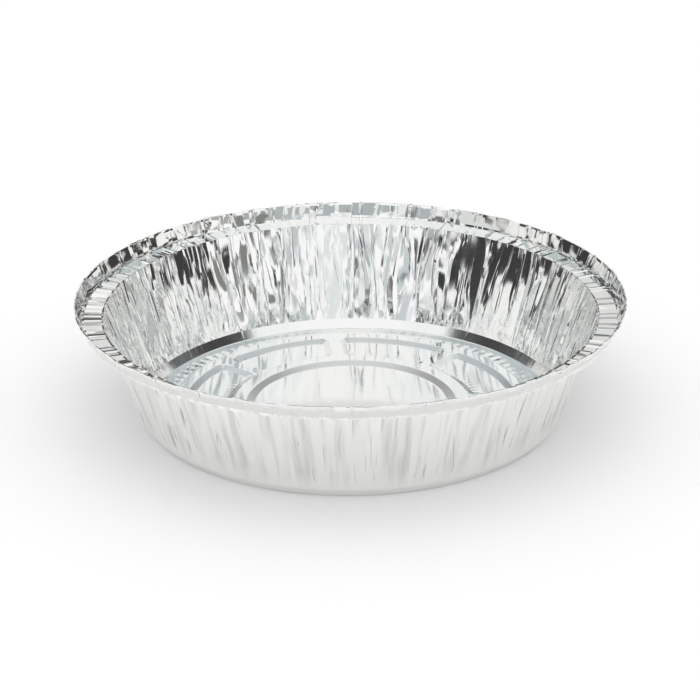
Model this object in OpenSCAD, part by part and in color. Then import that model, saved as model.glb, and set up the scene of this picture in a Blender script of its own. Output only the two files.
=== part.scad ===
// Round foil pie tin, pressed from one sheet of aluminium foil.
// The sheet is one closed shell: a flat base with an embossed ring and spokes, a short smooth
// chamfer, a gathered (wrinkled) wall, a crimped flange and an upright lip with a folded hem.
// The origin is on the table under the middle of the base, with +Z up. Sizes are in millimetres.

/* [Foil] */
// Thickness of the foil
foil_t = 0.09; // [0.08:0.01:0.16]

/* [Base] */
// Diameter of the flat base, at the foot of the chamfer
base_d = 173.6; // [168:0.5:182]
// Height of the smooth chamfer between base and wall
chamfer_h = 3.7; // [2:0.1:6]
// Distance that the chamfer runs outwards
chamfer_run = 2.8; // [1.5:0.1:5]

/* [Embossed ring and spokes] */
// Height of the raised ring and spokes over the outer part of the base
emboss_h = 2.05; // [1.4:0.05:2.8]
// Diameter of the sunk disc in the middle
disc_d = 81.6; // [60:0.5:86]
// Height of the sunk disc over the table
disc_h = 1.1; // [0.6:0.05:1.3]
// Width of the slope between the disc and the raised ring
disc_slope_w = 4; // [2:0.1:5]
// Diameter at which the sunk pads begin, outside the raised ring
pad_inner_d = 101; // [98:0.5:110]
// Diameter at which the sunk pads end, inside the raised rim of the pattern
pad_outer_d = 142; // [134:0.5:146]
// Height of the sunk pads over the table
pad_h = 0.6; // [0.3:0.05:1.2]
// Width of the slope at the outer side of a pad
pad_slope_w = 2.8; // [2:0.1:5]
// Width of the slope at the inner side of a pad
pad_inner_slope_w = 2.6; // [1:0.1:3]
// Radius of a pad's corners
pad_corner_r = 4.4; // [3:0.1:6]
// Number of sunk pads and of the spokes between them
pad_n = 8; // [6:1:9]
// Width of a spoke's flat top
spoke_w = 5.2; // [3:0.1:7]
// Width of the slope at each side of a spoke
spoke_slope_w = 2.4; // [1:0.1:2.6]
// Outer diameter of the raised pattern
pattern_d = 151; // [148:0.5:156]
// Width of the step from the raised pattern down to the outer part of the base
pattern_step_w = 2; // [1:0.1:4]

/* [Wall] */
// Height of the flange over the table
flange_h = 44.4; // [36:0.5:60]
// Diameter of the opening, at the top of the wall
opening_d = 206.4; // [196:0.5:212]
// Number of gathers round the wall, each one fold out and one fold in
gather_n = 112; // [72:2:116]
// Depth of the gathers, from the middle of the foil to a fold
gather_depth = 0.9; // [0.3:0.05:1.1]
// Share of a gather's depth that varies from fold to fold
gather_unevenness = 0.6; // [0:0.05:0.8]

/* [Flange, lip and hem] */
// Width of the flat flange between the wall and the lip
flange_w = 8.8; // [5:0.1:12]
// Height of the radial crimps in the flange, from the middle of the foil to a crest
crimp_depth = 0.3; // [0.1:0.05:0.5]
// Height of the lip over the flange
lip_h = 6.2; // [4:0.1:10]
// Distance that the lip leans outwards over its height
lip_lean = 2.4; // [1:0.1:4]
// Depth of the small dents in the lip
lip_dent = 0.28; // [0.1:0.02:0.4]
// Depth of the hem that is folded down outside the lip
hem_drop = 2; // [1.2:0.1:3]
// Width of the hem, from foil middle to foil middle
hem_w = 0.6; // [0.4:0.05:1]

/* [Hidden] */

// Direction of the first spoke and of the first column of the wall
spoke_turn = 6;
// Columns of points in one pad pitch: 0 is the spoke, 3 and 9 are where the pad's corners end
pad_cols = 12;
corner_col = 3;
base_cols = pad_n * pad_cols;
gather_cols = 2 * gather_n;

// Radii of the base pattern
disc_r = disc_d / 2;
ring_r = disc_r + disc_slope_w;
pad_in_r = pad_inner_d / 2;
pad_out_r = pad_outer_d / 2;
pattern_r = pattern_d / 2;
base_r = base_d / 2;

// Radii and heights of the rest of the section
crease_r = base_r + chamfer_run;
opening_r = opening_d / 2;
lip_foot_r = opening_r + flange_w;
lip_top_r = lip_foot_r + lip_lean;
lip_top_h = flange_h + lip_h;
hem_r = lip_top_r + hem_w;

// Bends of the gathers up the wall: [share of the wall's height, share of their full depth]
wall_bends = [[0.14, 0.6], [0.5, 0.95], [0.84, 1]];
// Shares of the gathers' full depth at the foot and at the top of the wall
crease_gather = 0.18;
opening_gather = 0.4;
// Share of a column's width that a gather may wander sideways
wander = 0.32;
// Share of a regular fold's depth that varies from fold to fold
fold_unevenness = 0.25;
// Share of a pad's corner radius that the middle of the corner is cut in
corner_middle_cut = 0.36;
// How much nearer the raw edge comes to the lip than the top of the hem does
hem_closing = 0.1;
// Seeds of the uneven depths and places, for the first ring of the wall
depth_seed = 40;
place_seed = 70;

// How the foil is bent round a ring: smooth regular folds, wandering gathers up the wall,
// crimps that stand up from the flange, or dents in the lip that no fold lines up with
FOLD = 0;
GATHER = 1;
CRIMP = 2;
DENT = 3;

// Middle line of the base's section, from the sunk disc out to the foot of the chamfer:
// [radius, height on the spokes, height in the pads, way in which the pads' corners are cut]
base_line = [
    [disc_r, disc_h, disc_h, 0],
    [ring_r, emboss_h, emboss_h, 0],
    [pad_in_r, emboss_h, emboss_h, 1],
    [pad_in_r + pad_inner_slope_w, emboss_h, pad_h, 1],
    [pad_out_r - pad_slope_w, emboss_h, pad_h, -1],
    [pad_out_r, emboss_h, emboss_h, -1],
    [pattern_r, emboss_h, emboss_h, 0],
    [pattern_r + pattern_step_w, 0, 0, 0],
    [base_r, 0, 0, 0],
];
base_last = len(base_line) - 1;

// Middle line of the section from the foot of the wall to the raw edge of the hem:
// [radius, height, depth of the bends, their kind]
wall_line = [
    [crease_r, chamfer_h, crease_gather * gather_depth, FOLD],
    for (bend = wall_bends) [
        crease_r + bend[0] * (opening_r - crease_r),
        chamfer_h + bend[0] * (flange_h - chamfer_h),
        bend[1] * gather_depth,
        GATHER
    ],
    [opening_r, flange_h, opening_gather * gather_depth, FOLD],
    [lip_foot_r, flange_h, crimp_depth, CRIMP],
    [lip_top_r, lip_top_h, lip_dent, DENT],
    [hem_r, lip_top_h, lip_dent, DENT],
    [hem_r - hem_drop * lip_lean / lip_h - hem_closing, lip_top_h - hem_drop, lip_dent, DENT],
];
wall_last = len(wall_line) - 1;

// Uneven numbers from -1 to 1, one for each column of each ring of the wall. The dents run
// straight down the lip and its hem, so their rings share one row of numbers.
function uneven_rows(seed) = [
    for (k = [0:wall_last])
        rands(-1, 1, gather_cols, wall_line[k][3] == DENT ? seed : seed + k + 1)
];
depth_noise = uneven_rows(depth_seed);
place_noise = uneven_rows(place_seed);

// A point at a radius, an angle and a height
function polar(r, a, z) = [r * cos(a), r * sin(a), z];

// Unit vector across the foil, to its inner side, on the way from p to q of the section
function normal_of(p, q) =
    let (way = [q[0] - p[0], q[1] - p[1]])
    [-way[1], way[0]] / norm(way);

// Direction across the foil where it bends at q, as long as the mitre needs
function mitre(p, q, next) =
    let (a = normal_of(p, q), b = normal_of(q, next))
    (a + b) / (1 + a * b);

// Direction across the foil at point k of the wall's line
function across(k) =
    k == 0 ? mitre(base_line[base_last], wall_line[0], wall_line[1]) :
    k == wall_last ? normal_of(wall_line[k - 1], wall_line[k]) :
    mitre(wall_line[k - 1], wall_line[k], wall_line[k + 1]);

// Angle from the spoke to column j of a pad pitch, at radius r. The spokes have straight sides.
function pad_angle(r, j) =
    let (
        pitch = 360 / pad_n,
        sides = [0, spoke_w / 2, spoke_w / 2 + spoke_slope_w, spoke_w / 2 + pad_corner_r],
        corner = asin(sides[corner_col] / r)
    )
    j <= corner_col ? asin(sides[j] / r) :
    j >= pad_cols - corner_col ? pitch - asin(sides[pad_cols - j] / r) :
    corner + (pitch - 2 * corner) * (j - corner_col) / (pad_cols - 2 * corner_col);

// How far column j lies in from the pad's edge, which rounds the pad's corners
function corner_cut(j) =
    let (from_spoke = min(j, pad_cols - j))
    pad_corner_r * (from_spoke == 1 ? 1 : from_spoke == 2 ? corner_middle_cut : 0);

// Point of the base at ring k and column i, moved by shift across the foil
function base_point(k, i, shift) =
    let (
        ring = base_line[k],
        j = i % pad_cols,
        spoke = spoke_turn + (i - j) / pad_cols * 360 / pad_n,
        in_pad = j >= 2 && j <= pad_cols - 2,
        r = ring[0] + ring[3] * corner_cut(j),
        a = spoke + (ring[3] == 0 ? 360 / base_cols * j : pad_angle(r, j)),
        up = k == base_last ? mitre(base_line[k - 1], ring, wall_line[0]) : [0, 1],
        at = [r, ring[in_pad ? 2 : 1]] + shift * up
    )
    polar(at[0], a, at[1] + foil_t / 2);

// Point of the wall, flange, lip or hem at ring k and column i, moved by shift across the foil
function wall_point(k, i, shift) =
    let (
        ring = wall_line[k],
        kind = ring[3],
        fold = i % 2 == 0 ? 1 : -1,
        noise = depth_noise[k][i],
        bend = ring[2] * (
            kind == DENT ? noise :
            kind == GATHER ? fold * (1 - gather_unevenness) + gather_unevenness * noise :
            fold * (1 - fold_unevenness) + fold_unevenness * noise
        ),
        way = kind == DENT ? [1, 0] : kind == CRIMP ? [0, 1] : across(k) / norm(across(k)),
        sideways = kind == GATHER ? wander * place_noise[k][i] : 0,
        at = [ring[0], ring[1]] + bend * way + shift * across(k)
    )
    polar(at[0], spoke_turn + 360 / gather_cols * (i + sideways), at[1] + foil_t / 2);

// All points of one side of the foil, ring after ring from the disc outwards
function side_points(shift) = concat(
    [for (k = [0:base_last], i = [0:base_cols - 1]) base_point(k, i, shift)],
    [for (k = [0:wall_last], i = [0:gather_cols - 1]) wall_point(k, i, shift)]
);

// Number of the first point of ring k of the base, and of ring k of the wall
function base_ring(k) = k * base_cols;
function wall_ring(k) = (base_last + 1) * base_cols + k * gather_cols;

// Triangles between two rings of n points each, of which one starts at a and one at b
function band(a, b, n) = [
    for (i = [0:n - 1])
        let (j = (i + 1) % n)
        each [[a + i, a + j, b + j], [a + i, b + j, b + i]]
];

// Triangles between a ring of n points from a and a ring of m points from b
function joint_band(a, n, b, m) = [
    for (
        i = 0, j = 0, step = m < n;
        i + j < n + m;
        i = step ? i + 1 : i,
        j = step ? j : j + 1,
        step = j >= m || (i < n && (i + 1) * m <= (j + 1) * n)
    )
        step
            ? [a + i, a + (i + 1) % n, b + j % m]
            : [a + i % n, b + (j + 1) % m, b + j % m]
];

// The same faces seen from the other side, with the points of the foil's other side
function turned(faces, first) = [
    for (f = faces) [for (i = [len(f) - 1:-1:0]) f[i] + first]
];

module pan() {
    points_in = side_points(foil_t / 2);
    points_out = side_points(-foil_t / 2);
    first_out = len(points_in);
    faces_in = concat(
        [[for (i = [base_cols - 1:-1:0]) i]],
        [for (k = [0:base_last - 1]) each band(base_ring(k), base_ring(k + 1), base_cols)],
        joint_band(base_ring(base_last), base_cols, wall_ring(0), gather_cols),
        [for (k = [0:wall_last - 1]) each band(wall_ring(k), wall_ring(k + 1), gather_cols)]
    );
    raw_edge = band(wall_ring(wall_last), wall_ring(wall_last) + first_out, gather_cols);
    color("silver")
        polyhedron(
            points = concat(points_in, points_out),
            faces = concat(faces_in, turned(faces_in, first_out), raw_edge)
        );
}

pan();
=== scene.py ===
"""Looks of a round foil pie tin, pressed from one sheet of bright aluminium foil.

The tin is modelled as two sheets of foil, the base and the wall with its rim, which are rolled
round the tin's axis, pressed to shape, welded at the crease between them and given the foil's
thickness. In the classes, lengths are millimetres and angles degrees, where nothing else is said.
"""

from __future__ import annotations

import logging
import math
from dataclasses import dataclass
from enum import Enum

import bpy
import numpy as np
from mathutils import Matrix, Vector

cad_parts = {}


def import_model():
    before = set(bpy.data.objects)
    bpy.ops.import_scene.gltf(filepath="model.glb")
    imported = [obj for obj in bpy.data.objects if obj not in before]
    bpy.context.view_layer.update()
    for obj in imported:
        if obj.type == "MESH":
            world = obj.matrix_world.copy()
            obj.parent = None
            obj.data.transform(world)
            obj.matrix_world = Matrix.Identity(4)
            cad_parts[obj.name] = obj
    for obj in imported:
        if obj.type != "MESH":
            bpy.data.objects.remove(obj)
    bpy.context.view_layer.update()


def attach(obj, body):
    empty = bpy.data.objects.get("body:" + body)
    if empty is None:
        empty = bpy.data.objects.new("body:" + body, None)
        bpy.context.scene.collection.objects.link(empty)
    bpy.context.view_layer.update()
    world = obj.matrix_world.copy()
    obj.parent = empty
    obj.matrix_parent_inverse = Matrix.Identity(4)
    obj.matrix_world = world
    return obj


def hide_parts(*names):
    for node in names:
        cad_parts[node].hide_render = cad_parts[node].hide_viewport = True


MM = 0.001
TURN = 2 * math.pi
WHITE = (1.0, 1.0, 1.0)

# Cells of the foil's noises to the metre along X, Y and Z, and the values that the patches use
PATCH_CELLS = (70, 70, 25)
PATCH_VALUES = (0.3, 0.7)
ROLL_LINE_CELLS = (1100, 30, 30)
GRAIN_CELLS = (1500, 1500, 500)

# Painted shade of soft folds: streaks on the wall, which noise values and heights in metres bring up
SHADE_STREAK_CELLS = (30, 30, 30)
SHADE_STREAK_RISE = 0.8
SHADE_STREAK_VALUES = (0.46, 0.68)
SHADE_STREAK_HEIGHTS = (0.003, 0.012)

Array = np.ndarray
Numbers = Array | float
Colour = tuple[float, float, float]
Socket = bpy.types.NodeSocket
log = logging.getLogger("foil_pie_tin")


class FoilSide(Enum):
    """The two sides of the foil. The rolls polish one and leave the other satin."""

    BRIGHT = "bright"
    SATIN = "satin"


def soft_step(values: Numbers, start: Numbers, end: Numbers) -> Array:
    """Rises smoothly from 0 at start to 1 at end.

    Args:
        values: Where to read the step.
        start: Value at which it is still 0.
        end: Value at which it has reached 1.

    Returns:
        The step's height, from 0 to 1, for each value.
    """
    share = np.clip((values - start) / (end - start), 0, 1)
    return share * share * (3 - 2 * share)


def round_waves(angle: Array, counts: tuple[int, ...], seed: int) -> Array:
    """Sums a few waves that close on themselves round the tin.

    Args:
        angle: Angles round the tin, in radians.
        counts: How many times each wave goes up and down in a turn.
        seed: Seed of the waves' phases.

    Returns:
        The sum at each angle, about -1 to 1.
    """
    phases = np.random.default_rng(seed).uniform(0, TURN, len(counts))
    total = sum(np.sin(count * angle + phase) for count, phase in zip(counts, phases))
    return total / math.sqrt(len(counts))


def one_long(run: float, rise: float) -> tuple[float, float]:
    """Scales a way to a length of one."""
    length = math.hypot(run, rise)
    return run / length, rise / length


def ring_points(angle: Array, reach: Numbers, height: Numbers) -> Array:
    """Gives a ring's points, from their angles, distances from the axis and heights."""
    return np.stack(np.broadcast_arrays(reach * np.cos(angle), reach * np.sin(angle), height), -1)


@dataclass(frozen=True)
class NodeMaker:
    """Adds nodes to a node tree, each with its settings, values and links in one call.

    Attributes:
        tree: The node tree.
    """

    tree: bpy.types.NodeTree

    def fill(self, node: bpy.types.Node, inputs: dict) -> bpy.types.Node:
        """Sets a node's inputs.

        Args:
            node: The node.
            inputs: Values, or other nodes' outputs, by the inputs' names or numbers.

        Returns:
            The node.
        """
        for name, value in inputs.items():
            if isinstance(value, Socket):
                self.tree.links.new(value, node.inputs[name])
            else:
                node.inputs[name].default_value = value
        return node

    def add(self, kind: str, inputs: dict | None = None, **settings: str) -> bpy.types.Node:
        """Adds a node.

        Args:
            kind: Type of the node, without the word that all these types begin with.
            inputs: Values, or other nodes' outputs, by its inputs' names or numbers.
            settings: Its own settings, such as the operation.

        Returns:
            The node.
        """
        node = self.tree.nodes.new(f"ShaderNode{kind}")
        for name, setting in settings.items():
            setattr(node, name, setting)
        return self.fill(node, inputs or {})

    def calculate(self, operation: str, first: Socket, second: Socket | float = 0) -> Socket:
        """Adds a math node and returns its result."""
        return self.add("Math", {0: first, 1: second}, operation=operation).outputs[0]

    def heading(self, way: Socket) -> Socket:
        """Adds nodes for the level direction of a way, one long, and returns it."""
        level = self.add("VectorMath", {0: way, 1: (1, 1, 0)}, operation="MULTIPLY").outputs[0]
        return self.add("VectorMath", {0: level}, operation="NORMALIZE").outputs[0]

    def lay_over(self, share: Socket, under: Socket | Colour, over: Colour) -> Socket:
        """Lays a share of a colour over another, and returns the result."""
        inputs = {"Factor": share, "A": under if isinstance(under, Socket) else (*under, 1)}
        return self.add("Mix", inputs | {"B": (*over, 1)}, data_type="RGBA").outputs["Result"]

    def spread(
        self, value: Socket, ends: tuple[float, float], to: tuple[float, float] = (0, 1), **way: str
    ) -> Socket:
        """Adds a node that turns the values from end to end into those of to, and returns them."""
        names = ("Value", "From Min", "From Max", "To Min", "To Max")
        return self.add("MapRange", dict(zip(names, (value, *ends, *to))), **way).outputs["Result"]

    def noise(self, place: Socket, cells: tuple[float, float, float], detail: float) -> Socket:
        """Adds a noise with its cells to the metre along X, Y and Z, and returns its value."""
        stretched = self.add("Mapping", {"Vector": place, "Scale": cells}).outputs["Vector"]
        return self.add("TexNoise", {"Vector": stretched, "Scale": 1, "Detail": detail}).outputs["Fac"]

    def bump(self, height: Socket, depth: float, under: dict | None = None) -> dict:
        """Adds a bump of a depth in millimetres over another, and gives its normal as an input."""
        inputs = {"Strength": 1, "Distance": depth * MM, "Height": height} | (under or {})
        return {"Normal": self.add("Bump", inputs).outputs["Normal"]}


@dataclass(frozen=True)
class Gather:
    """One generation of pleats, each half as wide as those of the one before.

    Attributes:
        depth: How far the foil is pushed in or out.
        inward: Share of that depth that goes inwards at every new crease.
        spread: How far a crease lies off the middle between its neighbours, as a share.
        length: How far a crease runs before it bends or fades.
    """

    depth: float
    inward: float
    spread: float
    length: float


@dataclass(frozen=True)
class Pleats:
    """Gathered foil, in which creases run up side by side, lean together and fade out.

    Attributes:
        columns: Creases of the first generation, round the tin.
        gathers: The generations, from coarse to fine. Each one doubles the creases.
        creases: Number of sharp creases in which the foil folds over.
        seed: Seed of their places and depths.
        crease_half: Shortest and longest half length of a sharp crease.
        crease_depth: Least and greatest depth of one.
        crease_soft: Fewest columns on its soft side, and one more than the most.
        crease_lean: How far its steep side is drawn under it, as a share of the gap there.
    """

    columns: int
    gathers: tuple[Gather, ...]
    creases: int
    seed: int
    crease_half: tuple[float, float] = (5, 16)
    crease_depth: tuple[float, float] = (0.1, 0.4)
    crease_soft: tuple[int, int] = (3, 9)
    crease_lean: float = 0.6

    @staticmethod
    def drift(random: np.random.Generator, way: Array, columns: int, length: float) -> Array:
        """Draws values that change slowly along each crease.

        Args:
            random: Source of the values.
            way: Distances along the foil.
            columns: Number of creases.
            length: Distance over which a value changes to the next.

        Returns:
            Values from -1 to 1, in rows of columns.
        """
        table = random.uniform(-1, 1, (int(way.max() / length) + 3, columns))
        at = way[:, None] / length + random.uniform(0, 1, columns)
        before = at.astype(int)
        share = soft_step(at - before, 0, 1)
        column = np.arange(columns)
        return table[before, column] * (1 - share) + table[before + 1, column] * share

    def at(self, way: Array) -> tuple[Array, Array]:
        """Places the creases.

        Args:
            way: Distances along the foil.

        Returns:
            Places round the tin, in turns, and depths, in rows of columns.
        """
        random = np.random.default_rng(self.seed)
        place = np.tile(np.arange(self.columns) / self.columns, (len(way), 1))
        first = self.gathers[0]
        place += first.spread / self.columns * self.drift(random, way, self.columns, first.length)
        depth = first.depth * self.drift(random, way, self.columns, first.length)
        for gather in self.gathers[1:]:
            columns = place.shape[1]
            gap = np.mod(np.roll(place, -1, axis=1) - place, 1)
            aside = self.drift(random, way, columns, gather.length)
            share = 0.5 + gather.spread * np.tanh(2 * aside)
            middle = depth + (np.roll(depth, -1, axis=1) - depth) * share
            push = np.tanh(2 * self.drift(random, way, columns, gather.length))
            middle += gather.depth * (gather.inward + (1 - gather.inward) * push)
            place = np.stack([place, place + gap * share], -1).reshape(len(way), -1)
            depth = np.stack([depth, middle], -1).reshape(len(way), -1)
        self.fold_over(random, way, place, depth)
        return place, depth

    def fold_over(self, random: np.random.Generator, way: Array, place: Array, depth: Array) -> None:
        """Adds sharp creases, steep on one side and soft on the other, where foil folds over.

        Args:
            random: Source of their places and sizes.
            way: Distances along the foil.
            place: Places round the tin, in turns, which are changed.
            depth: Depths, which are changed.
        """
        columns = place.shape[1]
        for _ in range(self.creases):
            column = random.integers(columns)
            half = random.uniform(*self.crease_half)
            middle = random.uniform(0, way.max())
            size = random.uniform(*self.crease_depth) * random.choice((-1, 1))
            side = random.choice((-1, 1))
            along = np.sqrt(np.clip(1 - np.abs(way - middle) / half, 0, 1))
            soft_columns = random.integers(*self.crease_soft)
            for step in range(soft_columns):
                depth[:, (column + side * step) % columns] += size * along * (1 - step / soft_columns)
            before = (column - side) % columns
            gap = np.mod(place[:, column] - place[:, before] + 0.5, 1) - 0.5
            place[:, before] += self.crease_lean * gap * along


@dataclass(frozen=True)
class FoilFinish:
    """A side of rolled aluminium foil.

    Attributes:
        side: Which side of the foil it is.
        tint: Colour of the metal.
        painted_shade_tint: Painted shade, a darker colour, where the die pressed it into a slope.
        streak_shade_tint: Colour of the painted shade of soft folds, in streaks that run up the wall.
        folded_tint: Colour down in a sharp crease, which the foil's own folds shade.
        roughness: Lowest and highest roughness over the surface.
        pressed_roughness: Roughness where the die pressed it into a slope.
        roll_line_depth: Depth of the fine lines that the rolls leave.
        grain_depth: Depth of the fine pebbling from the press.
    """

    side: FoilSide
    tint: Colour
    painted_shade_tint: Colour
    streak_shade_tint: Colour
    folded_tint: Colour
    roughness: tuple[float, float]
    pressed_roughness: float
    roll_line_depth: float
    grain_depth: float

    def material(self) -> bpy.types.Material:
        """Builds the finish as a node material on Object coordinates.

        Returns:
            The material.
        """
        material = bpy.data.materials.new(f"foil_{self.side.value}")
        material.use_nodes = True
        nodes = NodeMaker(material.node_tree)
        place = nodes.add("TexCoord").outputs["Object"]
        # The pressed mark: the die's grain, which raises the roughness, and painted shade, which darkens
        # the colour
        pressed = nodes.add("Attribute", attribute_name="pressed").outputs["Fac"]
        folded = nodes.add("Attribute", attribute_name="folded").outputs["Fac"]

        # Painted shade of soft folds: darker streaks up the wall
        colour = nodes.lay_over(self._shade_streaks(nodes, place), self.tint, self.streak_shade_tint)
        # Painted shade: a darker colour on the grained slopes and on the lip's outside
        colour = nodes.lay_over(pressed, colour, self.painted_shade_tint)
        colour = nodes.lay_over(folded, colour, self.folded_tint)
        patches = nodes.spread(nodes.noise(place, PATCH_CELLS, 3), PATCH_VALUES, self.roughness)
        grained = nodes.add("Mix", {"Factor": pressed, "A": patches, "B": self.pressed_roughness})
        lines = nodes.bump(nodes.noise(place, ROLL_LINE_CELLS, 3), self.roll_line_depth)
        grain = nodes.bump(nodes.noise(place, GRAIN_CELLS, 4), self.grain_depth, lines)

        shader = material.node_tree.nodes["Principled BSDF"]
        shader.inputs["Base Color"].default_value = (*self.tint, 1)
        looks = {"Metallic": 1, "Base Color": colour, "Roughness": grained.outputs["Result"]}
        nodes.fill(shader, looks | grain)
        return material

    @staticmethod
    def _shade_streaks(nodes: NodeMaker, place: Socket) -> Socket:
        """Adds painted shade of soft folds, in streaks that run up the wall and fade out at its foot.

        Args:
            nodes: Maker of the material's nodes.
            place: Coordinates they are read at, in metres.

        Returns:
            How much of a streak there is, from 0 to 1.
        """
        inputs = {0: place, 1: (0, 0, SHADE_STREAK_RISE), 2: nodes.heading(place)}
        along = nodes.add("VectorMath", inputs, operation="MULTIPLY_ADD").outputs[0]
        streaks = nodes.spread(nodes.noise(along, SHADE_STREAK_CELLS, 4), SHADE_STREAK_VALUES)
        height = nodes.add("SeparateXYZ", {0: place}).outputs["Z"]
        return nodes.calculate("MULTIPLY", streaks, nodes.spread(height, SHADE_STREAK_HEIGHTS))


@dataclass
class PressedBase:
    """The flat base with its embossed disc, ring, spokes and pads, out to the crease.

    Attributes:
        disc_r: Radius of the sunk disc.
        disc_slope_w: Width of the slope round the disc.
        disc_h: Height of the disc over the table.
        emboss_h: Height of the ring and the spokes.
        pad_in_r: Radius at which the sunk pads begin.
        pad_out_r: Radius at which they end.
        pad_h: Height of the pads.
        pad_slopes: Widths of a pad's slopes at its inner side, its outer side and its spokes.
        pad_corner_r: Radius of a pad's corners.
        pad_n: Number of pads and of spokes.
        spoke_w: Width of a spoke's top.
        spoke_turn: Direction of the first spoke.
        pattern_r: Outer radius of the embossed pattern.
        pattern_step_w: Width of the step down from it.
        slack_h: How far the pattern waves up and down.
        slack_w: Widths of these waves along X and Y, to a radian.
        buckle_h: Least and greatest height of the buckles beside the pads' corners.
        buckle_w: How far a buckle reaches along and athwart.
        fold_h: Height of the radial folds outside the pattern.
        fold_start_w: Distance over which they rise beside the pattern.
        fold_end_r: Radius from which they fade towards the chamfer.
        ring_fold: Height of the folds round the ring, as a share of the others.
        base_r: Radius of the flat base.
        chamfer: How far the chamfer runs outwards and up to the crease.
        fillet: How far the rounding between base and chamfer reaches along both.
        bend_w: Half the width of a bend in the foil.
        columns: Columns of faces round the base.
        corner_columns: Columns from a spoke's middle to its edge, its foot and the pad's corner.
        flat_r: Radii of the rings of points that lie beside the bends.
    """

    disc_r: float = 40.8
    disc_slope_w: float = 4.0
    disc_h: float = 1.1
    emboss_h: float = 2.05
    pad_in_r: float = 50.5
    pad_out_r: float = 71.0
    pad_h: float = 0.6
    pad_slopes: tuple[float, float, float] = (2.6, 2.8, 2.4)
    pad_corner_r: float = 4.4
    pad_n: int = 8
    spoke_w: float = 5.2
    spoke_turn: float = 6.0
    pattern_r: float = 75.5
    pattern_step_w: float = 2.0
    slack_h: float = 0.006
    slack_w: tuple[float, float] = (7.3, 9.1)
    buckle_h: tuple[float, float] = (0.04, 0.1)
    buckle_w: tuple[float, float] = (3.6, 1.7)
    fold_h: float = 0.09
    fold_start_w: float = 2.0
    fold_end_r: float = 85.2
    ring_fold: float = 0.35
    base_r: float = 86.8
    chamfer: tuple[float, float] = (2.8, 3.7)
    fillet: float = 0.35
    bend_w: float = 0.25
    columns: int = 448
    corner_columns: tuple[int, ...] = (0, 2, 5, 8)
    flat_r: tuple[float, ...] = (0, 10, 20, 30, 47.5, 54, 56.5, 59, 61.5, 64, 66, 81, 82.6, 84.2, 85.3)

    def bend_radii(self) -> list[float]:
        """Lists the radii on both sides of each bend.

        Returns:
            The radii, in the order of the bends.
        """
        slope_in, slope_out, _ = self.pad_slopes
        bends = [self.disc_r, self.disc_r + self.disc_slope_w, self.pad_in_r, self.pad_in_r + slope_in]
        bends += [self.pad_out_r - slope_out, self.pad_out_r]
        bends += [self.pattern_r, self.pattern_r + self.pattern_step_w]
        return [bend + side * self.bend_w for bend in bends for side in (-1, 1)]

    def ring_radii(self) -> list[float]:
        """Lists the radii of the base's rings of points, closer together at each bend.

        Returns:
            The radii, from the middle outwards.
        """
        pad_foot_out = self.pad_out_r - self.pad_slopes[1]
        on_slopes = [self.disc_r + self.disc_slope_w / 2, (pad_foot_out + self.pad_out_r) / 2]
        full_folds = self.pattern_r + self.pattern_step_w + self.fold_start_w
        inner = sorted([*self.bend_radii(), *self.flat_r, *on_slopes, full_folds])
        return [*inner, self.base_r - self.fillet]

    def column_angle(self, column: Array, radius: float) -> Array:
        """Places the columns, which follow the straight sides of the spokes near a pad.

        Args:
            column: Numbers of the columns.
            radius: Radius at which they are placed.

        Returns:
            Their angles, in radians.
        """
        pitch = TURN / self.pad_n
        per_pad = self.columns / self.pad_n
        pad, within = np.divmod(column, per_pad)
        even = within / per_pad * pitch
        sides = np.array([0, self.spoke_w / 2, self.spoke_w / 2 + self.pad_slopes[2]])
        sides = np.append(sides, sides[1] + self.pad_corner_r)
        if radius < 2 * sides[-1]:
            straight = even
        else:
            near = np.arcsin(sides / radius)
            marks = np.array(self.corner_columns)
            straight = np.interp(
                within,
                np.concatenate([marks, per_pad - marks[::-1]]),
                np.concatenate([near, pitch - near[::-1]]),
            )
        beside_pads = soft_step(radius, self.disc_r, self.pad_in_r)
        beside_pads *= 1 - soft_step(radius, self.pad_out_r + 1, self.base_r)
        angle = even + (straight - even) * beside_pads
        return math.radians(self.spoke_turn) + pad * pitch + angle

    def height(self, radius: Array, angle: Array) -> Array:
        """Gives the foil's height over the table.

        Args:
            radius: Distances from the tin's axis.
            angle: Angles round it, in radians.

        Returns:
            Heights of the middle of the foil, without its thickness.
        """
        pitch = TURN / self.pad_n
        within = np.mod(angle - math.radians(self.spoke_turn), pitch)
        beside = radius * np.sin(np.minimum(within, pitch - within)) - self.spoke_w / 2
        slope_in, slope_out, slope_side = self.pad_slopes
        inward = np.where(
            radius - self.pad_in_r < self.pad_out_r - radius,
            (radius - self.pad_in_r) / slope_in,
            (self.pad_out_r - radius) / slope_out,
        )
        sideways = beside / slope_side
        corner = self.pad_corner_r / slope_side
        near = (inward < corner) & (sideways < corner)
        depth = np.minimum(inward, sideways)
        rounded = corner - np.hypot(corner - inward, corner - sideways)
        depth = np.clip(np.where(near, np.minimum(rounded, depth), depth), 0, 1)

        height = self.emboss_h - (self.emboss_h - self.pad_h) * depth
        disc = (self.disc_r + self.disc_slope_w - radius) / self.disc_slope_w
        height -= (self.emboss_h - self.disc_h) * np.clip(disc, 0, 1)
        outside = (radius - self.pattern_r) / self.pattern_step_w
        return height * (1 - np.clip(outside, 0, 1))

    def unevenness(self, radius: Array, angle: Array) -> Array:
        """Gives how far the foil lies off its true height, as a thin pressed sheet does.

        Args:
            radius: Distances from the tin's axis.
            angle: Angles round it, in radians.

        Returns:
            Heights, up or down.
        """
        across, ahead = radius * np.cos(angle), radius * np.sin(angle)
        slack = self.slack_h * np.sin(across / self.slack_w[0] + 1.3)
        slack *= np.sin(ahead / self.slack_w[1] + 0.4)
        slack += self.buckles(across, ahead)
        return slack * (1 - soft_step(radius, self.pattern_r, self.pattern_r + self.pattern_step_w))

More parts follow.
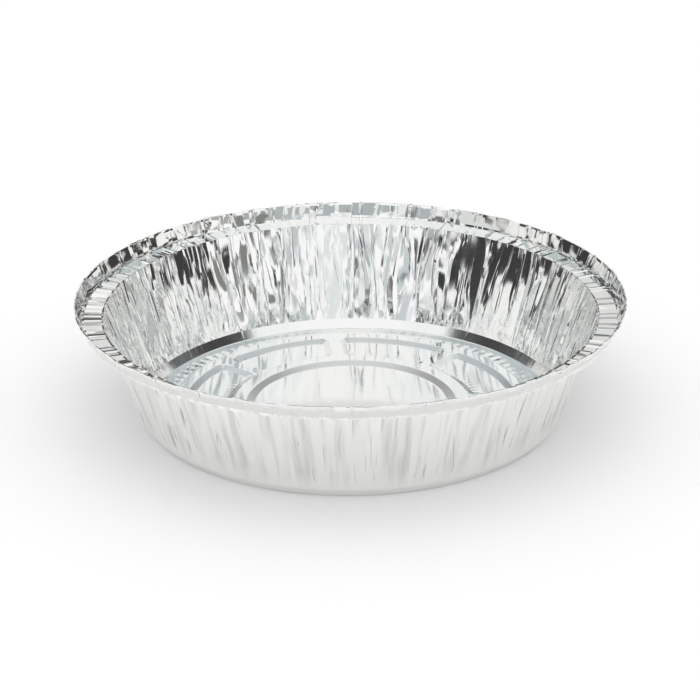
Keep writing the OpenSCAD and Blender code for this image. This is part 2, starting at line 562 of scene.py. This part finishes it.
    def folds(self, radius: float, angle: Array) -> Array:
        """Gives the height of the soft radial folds outside the pattern and round the ring.

        Args:
            radius: Radius of a ring of points.
            angle: Angles of its points, in radians, one for each column.

        Returns:
            Their heights. The tin stands on the folds outside the pattern.
        """
        random = np.random.default_rng(8)
        up_down = np.resize([0, 1, 0, -1], self.columns) * random.uniform(0.75, 1.1, self.columns)
        up_down = np.append(up_down, up_down[0]) * (0.4 + 0.6 * np.abs(np.cos(angle)))
        step_r = self.pattern_r + self.pattern_step_w
        outside = soft_step(radius, step_r, step_r + self.fold_start_w)
        outside *= 1 - soft_step(radius, self.fold_end_r, self.base_r)
        foot_r = self.pad_in_r + self.pad_slopes[0]
        by_ring = self.ring_fold * soft_step(radius, self.pad_in_r - 0.5, self.pad_in_r + 1)
        by_ring *= 1 - soft_step(radius, foot_r, foot_r + 3.5)
        return self.fold_h * ((1 + up_down) * outside + up_down * by_ring)

    def buckles(self, across: Array, ahead: Array) -> Array:
        """Gives the height of the small buckles that the press leaves beside the pads' corners.

        Args:
            across: Places along X.
            ahead: Places along Y.

        Returns:
            Heights, up or down.
        """
        random = np.random.default_rng(17)
        total = np.zeros(np.shape(across))
        for corner in range(4 * self.pad_n):
            near_r = self.pad_in_r + 4 if corner % 2 else self.pad_out_r - 5
            side = 1 if corner % 4 < 2 else -1
            turn = math.radians(self.spoke_turn) + (corner // 4) * TURN / self.pad_n
            turn += side * (self.spoke_w / 2 + random.uniform(0, 5)) / near_r
            near_r += random.uniform(-3, 3)
            aside = across - near_r * math.cos(turn)
            beyond = ahead - near_r * math.sin(turn)
            lean = random.uniform(0, TURN)
            along = aside * math.cos(lean) + beyond * math.sin(lean)
            athwart = beyond * math.cos(lean) - aside * math.sin(lean)
            size = random.uniform(*self.buckle_h) * random.choice((-1, 1))
            along /= self.buckle_w[0]
            athwart /= self.buckle_w[1]
            total += size * np.exp(-(along**2) - athwart**2)
        return total

    def rings(self) -> Array:
        """Places the points of the base.

        Returns:
            The points, as an array of rings, columns and X, Y and Z.
        """
        column = np.arange(self.columns + 1) % self.columns
        rings = []
        for radius in self.ring_radii():
            angle = self.column_angle(column, radius)
            reach = np.full(angle.shape, float(radius))
            height = self.height(reach, angle) + self.unevenness(reach, angle)
            height += self.folds(radius, angle)
            rings.append(ring_points(angle, reach, height))
        up_chamfer = self.fillet / math.hypot(*self.chamfer)
        for share in (0.5, 1.0):
            reach = self.base_r - self.fillet * (1 - share) ** 2 + up_chamfer * share**2 * self.chamfer[0]
            rings.append(ring_points(angle, reach, up_chamfer * share**2 * self.chamfer[1]))
        return np.array(rings)


@dataclass(frozen=True)
class SmoothSpot:
    """A place on the wall where the foil stayed nearly smooth.

    Attributes:
        angle: Direction of its middle from the tin's axis.
        way: Distance of its middle from the crease, up the wall.
        width: Half its width.
        height: Half its height.
    """

    angle: float
    way: float
    width: float
    height: float


@dataclass
class GatheredWall:
    """The gathered wall, the crimped flange, the lip and its hem, from the crease outwards.

    Attributes:
        crease_r: Radius of the crease at the foot of the wall.
        crease_h: Height of that crease.
        opening_r: Radius of the opening, at the top of the wall.
        flange_h: Height of the flange at the opening.
        flange_w: Width of the flange.
        flange_rise: How far the flange rises towards the lip.
        crimp_h: Height of a crimp across the flange.
        lip_h: Height of the lip over the flange.
        lip_lean: How far the lip leans outwards.
        lip_busyness: How much sooner a dent ends on the lip than a pleat does on the wall.
        hem_w: Width of the hem.
        hem_drop: How far the hem is folded down.
        first_column: Direction of the first column.
        pleats: The gathers, which run up the wall and on through the rim.
        start_ways: Lowest and highest way up the wall at which a gather may start.
        start_w: Way on which it comes to its depth.
        smooth_spots: Places that the gathers leave nearly smooth.
        smooth_left: Share of a gather's depth that is left in the middle of one.
        crimp_sizes: Least and greatest size of a crimp, as a share of crimp_h.
        crimp_columns: Half a crimp's width in columns, its change round the tin and at random.
        flange_wave_h: How far the flange's outer edge waves up and down.
        edge_wave_h: How far the lip's edge does.
        wall_ways: Ways up the wall at which its rings of points lie.
        flange_shares: Shares of the flange's width at which its rings lie.
        lip_rows: Rows of faces up the lip.
        hem_shares: Shares of the hem's drop at which its rings lie.
    """

    crease_r: float = 89.6
    crease_h: float = 3.7
    opening_r: float = 103.2
    flange_h: float = 44.2
    flange_w: float = 8.8
    flange_rise: float = 0.4
    crimp_h: float = 0.5
    lip_h: float = 6.0
    lip_lean: float = 2.4
    lip_busyness: float = 1.6
    hem_w: float = 0.6
    hem_drop: float = 2.0
    first_column: float = 6.0
    pleats: Pleats = Pleats(
        columns=112,
        gathers=(
            Gather(depth=0.3, inward=0.0, spread=0.36, length=28),
            Gather(depth=0.32, inward=0.2, spread=0.3, length=26),
            Gather(depth=0.27, inward=0.1, spread=0.32, length=22),
            Gather(depth=0.07, inward=-0.1, spread=0.34, length=18),
        ),
        creases=640,
        seed=21,
    )
    start_ways: tuple[float, float] = (-2.5, 1.6)
    start_w: float = 8
    smooth_spots: tuple[SmoothSpot, ...] = (
        SmoothSpot(57.5, 34, 6, 10),
        SmoothSpot(119, 11, 4, 12),
        SmoothSpot(74, 5, 5, 7),
        SmoothSpot(207, 30, 5, 12),
        SmoothSpot(291, 20, 6, 10),
        SmoothSpot(345, 14, 5, 12),
    )
    smooth_left: float = 0.06
    crimp_sizes: tuple[float, float] = (0.5, 1.1)
    crimp_columns: tuple[float, float, float] = (2.0, 1.1, 0.5)
    flange_wave_h: float = 0.12
    edge_wave_h: float = 0.22
    wall_ways: tuple[float, ...] = (0, 0.7, 1.8, 3.5, *range(6, 37, 3), 38.8, 41.2, 42.9)
    flange_shares: tuple[float, ...] = (0.08, 0.3, 0.6, 0.88)
    lip_rows: int = 8
    hem_shares: tuple[float, ...] = (0.3, 0.65, 1.0)

    def spots(self, turned: Array, way: Array) -> Array:
        """Thins out the gathers in the smooth spots.

        Args:
            turned: Angles round the tin, in radians.
            way: Way up the wall.

        Returns:
            How much of the gathers' depth is left, up to 1.
        """
        left = np.ones(turned.shape)
        for spot in self.smooth_spots:
            aside = np.mod(turned - math.radians(spot.angle) + math.pi, TURN) - math.pi
            aside = aside * (self.crease_r + self.opening_r) / 2 / spot.width
            off = np.hypot(aside, (way - spot.way) / spot.height)
            left *= self.smooth_left + (1 - self.smooth_left) * soft_step(off, 0.5, 1.3)
        return left

    def crimps(self, columns: int) -> Array:
        """Draws the crimps across the flange.

        Args:
            columns: Number of columns round the tin.

        Returns:
            Their heights by column, as shares of crimp_h.
        """
        random = np.random.default_rng(33)
        count = self.pleats.columns
        each = columns // count
        angle = np.arange(count) / count * TURN
        half, change, uneven = self.crimp_columns
        width = half - change * np.cos(angle + 0.3) + random.uniform(-uneven, uneven, count)
        size = random.uniform(*self.crimp_sizes, count)
        size *= np.where(random.uniform(0, 1, count) < 0.1, 0.2, 1)
        off = np.minimum(np.arange(each), each - np.arange(each))[None, :]
        own = size[:, None] * np.clip(1 - off / width[:, None], 0, 1)
        following = np.roll(size, -1)[:, None] * np.clip(1 - off / np.roll(width, -1)[:, None], 0, 1)
        first_half = np.arange(each)[None, :] < each / 2
        return np.where(first_half, own, following).ravel()

    def rings(self) -> Array:
        """Places the points of the wall and the rim.

        Returns:
            The points, as an array of rings, columns and X, Y and Z.
        """
        wall_way = np.array(self.wall_ways)
        lip_share = np.linspace(0, 1, self.lip_rows + 1)
        hem_share = np.array(self.hem_shares)
        lip_way = wall_way[-1] + self.lip_busyness * self.lip_h * lip_share
        hem_way = lip_way[-1] + self.lip_busyness * self.hem_drop * hem_share
        place, depth = self.pleats.at(np.concatenate([wall_way, lip_way, hem_way]))
        columns = place.shape[1]
        even = np.arange(columns) / columns
        crimp = self.crimps(columns)
        rings = []

        def add(turn: Array, reach: Numbers, height: Numbers) -> None:
            """Adds a ring of points."""
            rings.append(ring_points(turn * TURN + math.radians(self.first_column), reach, height))

        # Wall, row by row up to the opening
        way_r, way_h = one_long(self.opening_r - self.crease_r, self.flange_h - self.crease_h)
        random = np.random.default_rng(12)
        start = np.repeat(random.uniform(*self.start_ways, columns // 2), 2)
        calm = 0.85 + 0.35 * round_waves(even * TURN, (7, 12, 19, 31), 4)
        for row, way in enumerate(wall_way):
            loose = soft_step(way, 0, 6)
            turn = even + (place[row] - even) * loose
            angle = turn * TURN + math.radians(self.first_column)
            push = depth[row] * calm * self.spots(angle, way)
            push *= soft_step(way, start, start + self.start_w)
            push *= 1 - 0.45 * soft_step(way, 36, 43)
            rise = way + (0.5 * push if 0 < row < len(wall_way) - 1 else 0)
            reach = self.crease_r + way_r * rise - way_h * push
            height = self.crease_h + way_h * rise + way_r * push
            if row == len(wall_way) - 1:
                reach = reach - 0.2 * self.crimp_h * crimp
                height = height + 0.7 * self.crimp_h * crimp
            add(turn, reach, height)

        # Flange, with the crimps across it
        top = len(wall_way) - 1
        slack = self.flange_wave_h * round_waves(even * TURN, (3, 5, 8), 9)
        for share in self.flange_shares:
            uneven = 0.1 * depth[top] * (1 - share) + slack * share
            height = self.flange_h + self.flange_rise * share + uneven
            height = height + self.crimp_h * crimp * (1 - 0.15 * share)
            add(place[top], self.opening_r + share * self.flange_w, height)

        # Lip, with its dents
        lip_r, lip_up = one_long(self.lip_lean, self.lip_h)
        foot_r, foot_h = self.opening_r + self.flange_w, self.flange_h + self.flange_rise
        for row, share in enumerate(lip_share, start=top + 1):
            follow = soft_step(share, 0, 0.4)
            turn = place[top] + (place[row] - place[top]) * follow
            eased = 0.5 * depth[row] + 0.25 * (np.roll(depth[row], 1) + np.roll(depth[row], -1))
            push = eased * (0.35 + 0.4 * follow)
            if share == 1:
                push = 0.4 * push
            reach = foot_r + self.lip_lean * share - lip_up * push
            height = foot_h + self.lip_h * share + lip_r * push
            if share == 0:
                height = height - 0.4 + 0.4 * self.crimp_h * crimp + slack
            add(turn, reach, height)

        # Hem, over the lip's edge and down outside it
        edge = top + 1 + self.lip_rows
        top_r = foot_r + self.lip_lean - lip_up * 0.4 * depth[edge]
        top_h = foot_h + self.lip_h + 0.3 * depth[edge]
        top_h = top_h + self.edge_wave_h * round_waves(even * TURN, (17, 29, 43, 61), 5)
        add(place[edge], top_r + 0.15 * self.hem_w, top_h + 0.03)
        add(place[edge], top_r + 0.85 * self.hem_w, top_h + 0.11)
        for row, share in enumerate(hem_share, start=edge + 1):
            drop = 0.1 + share * self.hem_drop * (1 + 0.2 * depth[row])
            reach = top_r + self.hem_w - drop * self.lip_lean / self.lip_h
            turn = place[edge] + (place[row] - place[edge]) * 0.5 * share
            add(turn, reach - share * (0.4 + 0.6 * depth[row]), top_h - drop)
        return np.array(rings)


@dataclass
class PieTin:
    """The whole tin: both sheets, welded and given the foil's thickness and its two sides.

    Attributes:
        base: The pressed base.
        wall: The gathered wall and rim.
        foil_t: Thickness of the foil.
        weld_gap: Gap over which points of the two sheets are welded.
        crease_angle: Angle over which a fold shows as a sharp line.
        base_crease_angle: The same on the base.
        side_grain_and_shade: How much of the slopes' grain and painted shade the pads' sides have.
        chamfer_grain_and_shade: How much of it the chamfer has.
        flat_grain_and_shade: How much of it the flat parts of the pattern have.
        foot_grain_and_shade: How much of it the ring of radial folds outside the pattern has.
        slope_angle: Angle over which a part of the base counts as one of its slopes.
        side_tilt: Least level part of a unit normal on a pad's side.
        wall_tilt: The same on the side of a crease in the wall.
        bend_gap: Distance at which an edge still counts as lying on a bend.
        lip_plain_h: Height of the part of the lip that gets no grain or painted shade outside.
        fold_angles: Turns from the wall's own direction between which a crease darkens.
    """

    base: PressedBase
    wall: GatheredWall
    foil_t: float = 0.09
    weld_gap: float = 0.002
    crease_angle: float = 5.0
    base_crease_angle: float = 20.0
    side_grain_and_shade: float = 0.7
    chamfer_grain_and_shade: float = 0.35
    flat_grain_and_shade: float = 0.06
    foot_grain_and_shade: float = 0.3
    slope_angle: float = 7.0
    side_tilt: float = 0.2
    wall_tilt: float = 0.6
    bend_gap: float = 0.03
    lip_plain_h: float = 0.8
    fold_angles: tuple[float, float] = (34, 64)

    def build(self, bright: bpy.types.Material, satin: bpy.types.Material) -> bpy.types.Object:
        """Makes the tin.

        Args:
            bright: Finish of the side that faces up and into the tin.
            satin: Finish of the side that faces down and out.

        Returns:
            The tin, as one closed piece.
        """
        wall_rings = self.wall.rings()
        wall_rings = np.concatenate([wall_rings, wall_rings[:, :1]], axis=1)
        wall = self._sheet("pan_wall", wall_rings)
        base_rings = np.concatenate([self.base.rings(), wall_rings[None, 0, ::2]])
        base = self._sheet("pan_base", base_rings)
        self._match_crease(base, wall_rings[0])

        bpy.ops.object.select_all(action="DESELECT")
        wall.select_set(True)
        base.select_set(True)
        bpy.context.view_layer.objects.active = base
        bpy.ops.object.join()
        tin = base
        tin.name = tin.data.name = "foil_pan"
        self._in_edit_mode(tin)
        bpy.ops.mesh.select_all(action="SELECT")
        bpy.ops.mesh.remove_doubles(threshold=self.weld_gap * MM)
        bpy.ops.mesh.quads_convert_to_tris(quad_method="SHORTEST_DIAGONAL")
        bpy.ops.mesh.normals_make_consistent(inside=False)
        bpy.ops.object.mode_set(mode="OBJECT")
        self._face_up(tin)

        tin.data.materials.append(bright)
        tin.data.materials.append(satin)
        thickness = tin.modifiers.new("foil", "SOLIDIFY")
        thickness.thickness = self.foil_t * MM
        thickness.offset = 0
        thickness.material_offset = 1
        bpy.ops.object.modifier_apply(modifier=thickness.name)
        self._smooth(tin)
        self._mark_grain_and_shade(tin)
        self._mark_folded(tin)
        return tin

    def _smooth(self, tin: bpy.types.Object) -> None:
        """Smooths the faces but for sharp folds, which the base has fewer of than the wall.

        Args:
            tin: The tin.
        """
        mesh = tin.data
        ends = np.empty(2 * len(mesh.edges), dtype=int)
        mesh.edges.foreach_get("vertices", ends)
        places = np.empty(3 * len(mesh.vertices))
        mesh.vertices.foreach_get("co", places)
        reach = np.hypot(places[0::3], places[1::3])[ends].reshape(-1, 2)
        bends = [*self.base.bend_radii(), self.base.base_r - self.base.fillet]
        off_bends = np.abs(reach[:, :, None] / MM - np.array(bends))
        on_bend = (off_bends.max(1) < self.bend_gap).any(1)
        sharp = {}
        for angle in (self.base_crease_angle, self.crease_angle):
            bpy.ops.object.shade_smooth_by_angle(angle=math.radians(angle))
            sharp[angle] = np.empty(len(mesh.edges), dtype=bool)
            mesh.edges.foreach_get("use_edge_sharp", sharp[angle])
        on_base = reach.max(1) < self.base.base_r * MM
        both = np.where(on_base, sharp[self.base_crease_angle] | on_bend, sharp[self.crease_angle])
        mesh.edges.foreach_set("use_edge_sharp", both)

    def _mark_grain_and_shade(self, tin: bpy.types.Object) -> None:
        """Marks grain and painted shade, which lie on the base's slopes above all.

        Args:
            tin: The tin.
        """
        base = self.base
        slopes_r = (
            (base.disc_r, base.disc_r + base.disc_slope_w),
            (base.pad_out_r - base.pad_slopes[1], base.pad_out_r),
        )
        grain_and_shade_h = self.wall.flange_h + self.lip_plain_h
        pressed = tin.data.attributes.new("pressed", "FLOAT", "FACE")
        for face, mark in zip(tin.data.polygons, pressed.data):
            reach = face.center.xy.length / MM
            # Painted shade, with the grain, on the lip's outside above its plain foot
            if face.material_index == 1 and face.center.z > grain_and_shade_h * MM:
                mark.value = 1
            inward = -face.normal.xy.dot(face.center.xy.normalized()) * math.copysign(1, face.normal.z)
            # The base's slopes, chamfer, pads' sides and flats get grain and painted shade in these
            # shares
            if inward > max(math.sin(math.radians(self.slope_angle)), 0.8 * face.normal.xy.length):
                if any(start < reach < end for start, end in slopes_r):
                    mark.value = 1
                elif base.base_r < reach < self.wall.crease_r:
                    mark.value = self.chamfer_grain_and_shade
            elif base.pad_in_r < reach < base.pad_out_r and face.normal.xy.length > self.side_tilt:
                mark.value = self.side_grain_and_shade
            elif reach < base.base_r:
                mark.value = self.flat_grain_and_shade if reach < base.pattern_r else self.foot_grain_and_shade

    def _mark_folded(self, tin: bpy.types.Object) -> None:
        """Marks the steep sides of the sharp creases in the wall and the lip.

        Args:
            tin: The tin.
        """
        folded = tin.data.attributes.new("folded", "FLOAT", "FACE")
        start, end = self.fold_angles
        for face, mark in zip(tin.data.polygons, folded.data):
            level = face.normal.xy
            if face.center.xy.length > self.wall.crease_r * MM and level.length > self.wall_tilt:
                along = abs(level.normalized().dot(face.center.xy.normalized()))
                mark.value = float(soft_step(math.degrees(math.acos(min(along, 1))), start, end))

    def _sheet(self, name: str, rings: Array) -> bpy.types.Object:
        """Adds a flat grid and rolls it into rings round the tin's axis.

        Args:
            name: Name of the new piece.
            rings: Its points, as an array of rings, columns and X, Y and Z.

        Returns:
            The sheet, not yet welded along its seam.
        """
        rows, columns = rings.shape[0] - 1, rings.shape[1] - 1
        bpy.ops.object.select_all(action="DESELECT")
        bpy.ops.mesh.primitive_grid_add(x_subdivisions=columns, y_subdivisions=rows, size=1)
        sheet = bpy.context.object
        sheet.name = sheet.data.name = name
        flat = np.empty(len(sheet.data.vertices) * 3)
        sheet.data.vertices.foreach_get("co", flat)
        flat = flat.reshape(-1, 3)
        column = np.rint((flat[:, 0] + 0.5) * columns).astype(int)
        row = np.rint((flat[:, 1] + 0.5) * rows).astype(int)
        points = rings[row, column] + np.array([0, 0, self.foil_t / 2])
        sheet.data.vertices.foreach_set("co", (points * MM).ravel())
        sheet.data.update()
        return sheet

    def _match_crease(self, base: bpy.types.Object, crease: Array) -> None:
        """Gives the base's rim as many points as the wall's foot, at the same places.

        Args:
            base: The base's sheet, whose last ring has every other point of the crease.
            crease: Points of the crease, in columns of X, Y and Z.
        """
        self._in_edit_mode(base)
        bpy.ops.mesh.select_all(action="DESELECT")
        bpy.ops.object.mode_set(mode="OBJECT")
        rim = (crease + np.array([0, 0, self.foil_t / 2])) * MM
        rim_r = 0.5 * (self.base.base_r + self.wall.crease_r) * MM
        mesh = base.data
        on_rim = [vertex.co.xy.length > rim_r for vertex in mesh.vertices]
        for edge in mesh.edges:
            edge.select = all(on_rim[v] for v in edge.vertices)
        self._in_edit_mode(base)
        bpy.ops.mesh.select_mode(type="EDGE")
        bpy.ops.mesh.subdivide(number_cuts=1)
        bpy.ops.object.mode_set(mode="OBJECT")
        for vertex in mesh.vertices:
            if vertex.co.xy.length > rim_r:
                vertex.co = rim[np.linalg.norm(rim - np.array(vertex.co), axis=1).argmin()]
        mesh.update()

    @staticmethod
    def _in_edit_mode(piece: bpy.types.Object) -> None:
        """Makes a piece the only selected one and opens it in edit mode.

        Args:
            piece: The piece.
        """
        bpy.ops.object.select_all(action="DESELECT")
        piece.select_set(True)
        bpy.context.view_layer.objects.active = piece
        bpy.ops.object.mode_set(mode="EDIT")

    @staticmethod
    def _face_up(tin: bpy.types.Object) -> None:
        """Turns the sheet's faces so that the side in the tin looks up.

        Args:
            tin: The tin.
        """
        lowest = min(tin.data.polygons, key=lambda face: face.center.xy.length)
        if lowest.normal.z < 0:
            tin.data.flip_normals()


@dataclass(frozen=True)
class RoomPatch:
    """A soft-edged patch of the room that the foil mirrors.

    Attributes:
        azimuth: Direction of its middle, in degrees from the front, to the right.
        half_width: How far it reaches to either side.
        low: Elevation of its lower edge.
        high: Elevation of its upper edge.
        edge: Width of its soft edge.
        colour: Light that comes from it.
    """

    azimuth: float
    half_width: float
    low: float
    high: float
    edge: float
    colour: Colour

    def paint(
        self, nodes: NodeMaker, under: Socket | Colour, heading: Socket, elevation: Socket
    ) -> Socket:
        """Paints the patch over the room.

        Args:
            nodes: Maker of the world's nodes.
            under: Colour of the room so far.
            heading: Level direction of the ray, one long.
            elevation: Elevation of the ray, in radians.

        Returns:
            Colour of the room with the patch.
        """
        azimuth = math.radians(self.azimuth)
        inputs = {0: heading, 1: (math.sin(azimuth), -math.cos(azimuth), 0)}
        toward = nodes.add("VectorMath", inputs, operation="DOT_PRODUCT").outputs["Value"]
        aside = nodes.calculate("ARCCOSINE", toward)
        off = nodes.calculate("SUBTRACT", elevation, math.radians((self.low + self.high) / 2))
        off = nodes.calculate("ABSOLUTE", off)
        within = self._inside(nodes, aside, self.half_width)
        level_with = self._inside(nodes, off, (self.high - self.low) / 2)
        return nodes.lay_over(nodes.calculate("MULTIPLY", within, level_with), under, self.colour)

    def _inside(self, nodes: NodeMaker, off: Socket, reach: float) -> Socket:
        """Adds a step from 1 inside reach to 0 beyond the soft edge, in degrees, and returns it."""
        ends = (math.radians(reach + self.edge), math.radians(reach))
        return nodes.spread(off, ends, interpolation_type="SMOOTHSTEP")


@dataclass
class Studio:
    """A plain pale floor, soft light, a white backdrop and the camera.

    Attributes:
        lens: Focal length for a picture 36 mm wide.
        distance: From the camera to the tin's axis, in metres.
        elevation: How steeply the camera looks down.
        roll: How far the picture is turned.
        aim: Point that the camera looks at, in metres.
        floor_size: Length of the floor's sides, in metres.
        floor_gap: How far it lies under the tin.
        floor_colour: Its colour.
        lamp_place: Place of the softbox, in metres.
        lamp_size: Length of its sides, in metres.
        lamp_power: Its power, in watts.
        walls: Colour of the room where no patch lies.
        patches: Patches of the room, each painted over the ones before.
    """

    lens: float = 135.95
    distance: float = 1.11322
    elevation: float = 22.868
    roll: float = -0.4594
    aim: tuple[float, float, float] = (-0.0002946, 0, 0.025867)
    floor_size: float = 8
    floor_gap: float = 0.02
    floor_colour: Colour = (0.97, 0.97, 0.97)
    lamp_place: tuple[float, float, float] = (0, -0.3, 1.4)
    lamp_size: float = 1.2
    lamp_power: float = 1.6
    walls: Colour = (0.048, 0.046, 0.047)
    patches: tuple[RoomPatch, ...] = (
        RoomPatch(0, 180, -90, 1, 4, (0.85, 0.85, 0.84)),
        RoomPatch(8, 57, -10, 29, 4, WHITE),
        RoomPatch(0, 64, 29, 75, 6, WHITE),
        RoomPatch(0, 11, -10, 20, 5, (0.76, 0.8, 0.81)),
        RoomPatch(-5, 1, -10, 20, 3, WHITE),
        RoomPatch(6, 1, -10, 20, 3, (0.95, 0.95, 0.95)),
        RoomPatch(-27, 2, -10, 20, 5, (0.6, 0.64, 0.66)),
        RoomPatch(25, 2, -10, 20, 5, (0.55, 0.59, 0.61)),
        RoomPatch(44, 4, -10, 20, 4, (0.24, 0.24, 0.23)),
        RoomPatch(-42, 2, -10, 20, 4, (0.18, 0.18, 0.18)),
        RoomPatch(-62, 15, 17, 33, 5, (0.72, 0.73, 0.72)),
        RoomPatch(0, 40, 20.5, 28.5, 2.5, (0.45, 0.48, 0.49)),
        RoomPatch(-14, 2, 20.5, 28.5, 2, (0.85, 0.87, 0.87)),
        RoomPatch(10, 2, 20.5, 28.5, 2, (0.24, 0.27, 0.28)),
        RoomPatch(22, 2, 20.5, 28.5, 2, (0.85, 0.87, 0.87)),
        RoomPatch(-28, 2, 20.5, 28.5, 2, (0.24, 0.26, 0.26)),
        RoomPatch(0, 180, 48, 90, 5, (0.92, 0.94, 0.94)),
        *(RoomPatch(side * 134, 20, 28, 64, 5, (0.55, 0.6, 0.62)) for side in (1, -1)),
        *(RoomPatch(side * 84, 16, 45, 51, 2, (0.48, 0.53, 0.55)) for side in (1, -1)),
        *(RoomPatch(side * 110, 9, 45.5, 64, 2, (0.95, 0.97, 0.98)) for side in (1, -1)),
        RoomPatch(0, 34, 42, 90, 12, WHITE),
        RoomPatch(88, 16, 12, 25, 3, (0.95, 0.94, 0.91)),
        RoomPatch(-88, 14, 13, 25, 3, (0.9, 0.89, 0.86)),
        RoomPatch(62, 9, 19, 28, 3, (0.4, 0.41, 0.4)),
        RoomPatch(180, 26, 8, 44, 4, (0.11, 0.105, 0.1)),
        RoomPatch(180, 42, 56, 77, 1.5, (0.42, 0.46, 0.47)),
        RoomPatch(0, 180, 80.5, 90, 1.5, WHITE),
        RoomPatch(180, 8, 25.5, 31, 2, WHITE),
        RoomPatch(160, 20, 20, 24, 2, (0.5, 0.5, 0.49)),
        RoomPatch(180, 8, 19, 26, 3, (0.75, 0.75, 0.74)),
        RoomPatch(180, 5, 33, 42, 3, (0.8, 0.8, 0.78)),
        RoomPatch(180, 8, 42, 50, 2, (0.95, 0.95, 0.95)),
    )

    def add_camera(self) -> None:
        """Places the camera where the photograph was taken from."""
        data = bpy.data.cameras.new("camera")
        data.lens = self.lens
        data.clip_start = 0.01
        camera = bpy.data.objects.new("camera", data)
        bpy.context.scene.collection.objects.link(camera)
        tilt = math.radians(self.elevation)
        place = Vector((0, -self.distance * math.cos(tilt), self.distance * math.sin(tilt)))
        place.z += self.aim[2]
        look = (Vector(self.aim) - place).to_track_quat("-Z", "Y")
        camera.matrix_world = (
            Matrix.Translation(place)
            @ look.to_matrix().to_4x4()
            @ Matrix.Rotation(math.radians(self.roll), 4, "Z")
        )
        bpy.context.scene.camera = camera

    def add_floor(self) -> None:
        """Lays a pale floor just under the tin."""
        bpy.ops.object.select_all(action="DESELECT")
        place = (0, 0, -self.floor_gap * MM)
        bpy.ops.mesh.primitive_plane_add(size=self.floor_size, location=place)
        floor = bpy.context.object
        floor.name = "floor"
        material = bpy.data.materials.new("floor")
        material.use_nodes = True
        matt = {"Base Color": (*self.floor_colour, 1), "Roughness": 1, "Specular IOR Level": 0}
        NodeMaker(material.node_tree).fill(material.node_tree.nodes["Principled BSDF"], matt)
        floor.data.materials.append(material)

    def add_softbox(self) -> None:
        """Hangs a large soft lamp over the tin, which lights the floor and no mirror shows."""
        data = bpy.data.lights.new("softbox", "AREA")
        data.shape = "SQUARE"
        data.size = self.lamp_size
        data.energy = self.lamp_power
        lamp = bpy.data.objects.new("softbox", data)
        bpy.context.scene.collection.objects.link(lamp)
        place = Vector(self.lamp_place)
        aim = (-place).to_track_quat("-Z", "Y")
        lamp.matrix_world = Matrix.Translation(place) @ aim.to_matrix().to_4x4()
        lamp.visible_glossy = False

    def add_world(self) -> None:
        """Surrounds the tin with white, and with the painted room in what the foil mirrors."""
        world = bpy.data.worlds.new("studio")
        bpy.context.scene.world = world
        world.use_nodes = True
        world.node_tree.nodes.clear()
        nodes = NodeMaker(world.node_tree)
        way = nodes.add("TexCoord").outputs["Generated"]
        heading = nodes.heading(way)
        elevation = nodes.calculate("ARCSINE", nodes.add("SeparateXYZ", {0: way}).outputs["Z"])
        colour = self.walls
        for patch in self.patches:
            colour = patch.paint(nodes, colour, heading, elevation)

        room = nodes.add("Background", {"Color": colour}).outputs[0]
        backdrop = nodes.add("Background", {"Color": (*WHITE, 1)}).outputs[0]
        mirrored = nodes.add("LightPath").outputs["Is Glossy Ray"]
        seen = nodes.add("MixShader", {"Fac": mirrored, 1: backdrop, 2: room}).outputs[0]
        nodes.add("OutputWorld", {"Surface": seen})

    def build(self) -> None:
        """Sets up the camera, the floor, the lamp and the room."""
        self.add_camera()
        self.add_floor()
        self.add_softbox()
        self.add_world()
        bpy.context.scene.view_settings.view_transform = "Standard"


def main() -> None:
    """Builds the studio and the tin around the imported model."""
    logging.basicConfig(level=logging.INFO, format="%(name)s: %(message)s")
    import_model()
    Studio().build()
    log.info("studio ready")

    bright = FoilFinish(
        side=FoilSide.BRIGHT,
        tint=(0.94, 0.945, 0.935),
        # Painted shade on the grained slopes and the lip's outside
        painted_shade_tint=(0.86, 0.87, 0.865),
        # Painted shade of soft folds, in streaks up the wall
        streak_shade_tint=(0.92, 0.925, 0.915),
        folded_tint=(0.46, 0.46, 0.46),
        roughness=(0.04, 0.07),
        pressed_roughness=0.3,
        roll_line_depth=0.005,
        grain_depth=0.004,
    ).material()
    satin = FoilFinish(
        side=FoilSide.SATIN,
        tint=(0.95, 0.955, 0.94),
        # Painted shade on the grained slopes and the lip's outside
        painted_shade_tint=(0.79, 0.795, 0.78),
        # Painted shade of soft folds, in streaks up the wall
        streak_shade_tint=(0.75, 0.755, 0.74),
        folded_tint=(0.62, 0.63, 0.61),
        roughness=(0.14, 0.22),
        pressed_roughness=0.35,
        roll_line_depth=0.012,
        grain_depth=0.01,
    ).material()
    tin = PieTin(base=PressedBase(), wall=GatheredWall()).build(bright, satin)
    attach(tin, "root")
    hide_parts("pan")
    log.info("tin ready, %d faces", len(tin.data.polygons))


if __name__ == "__main__":
    main()
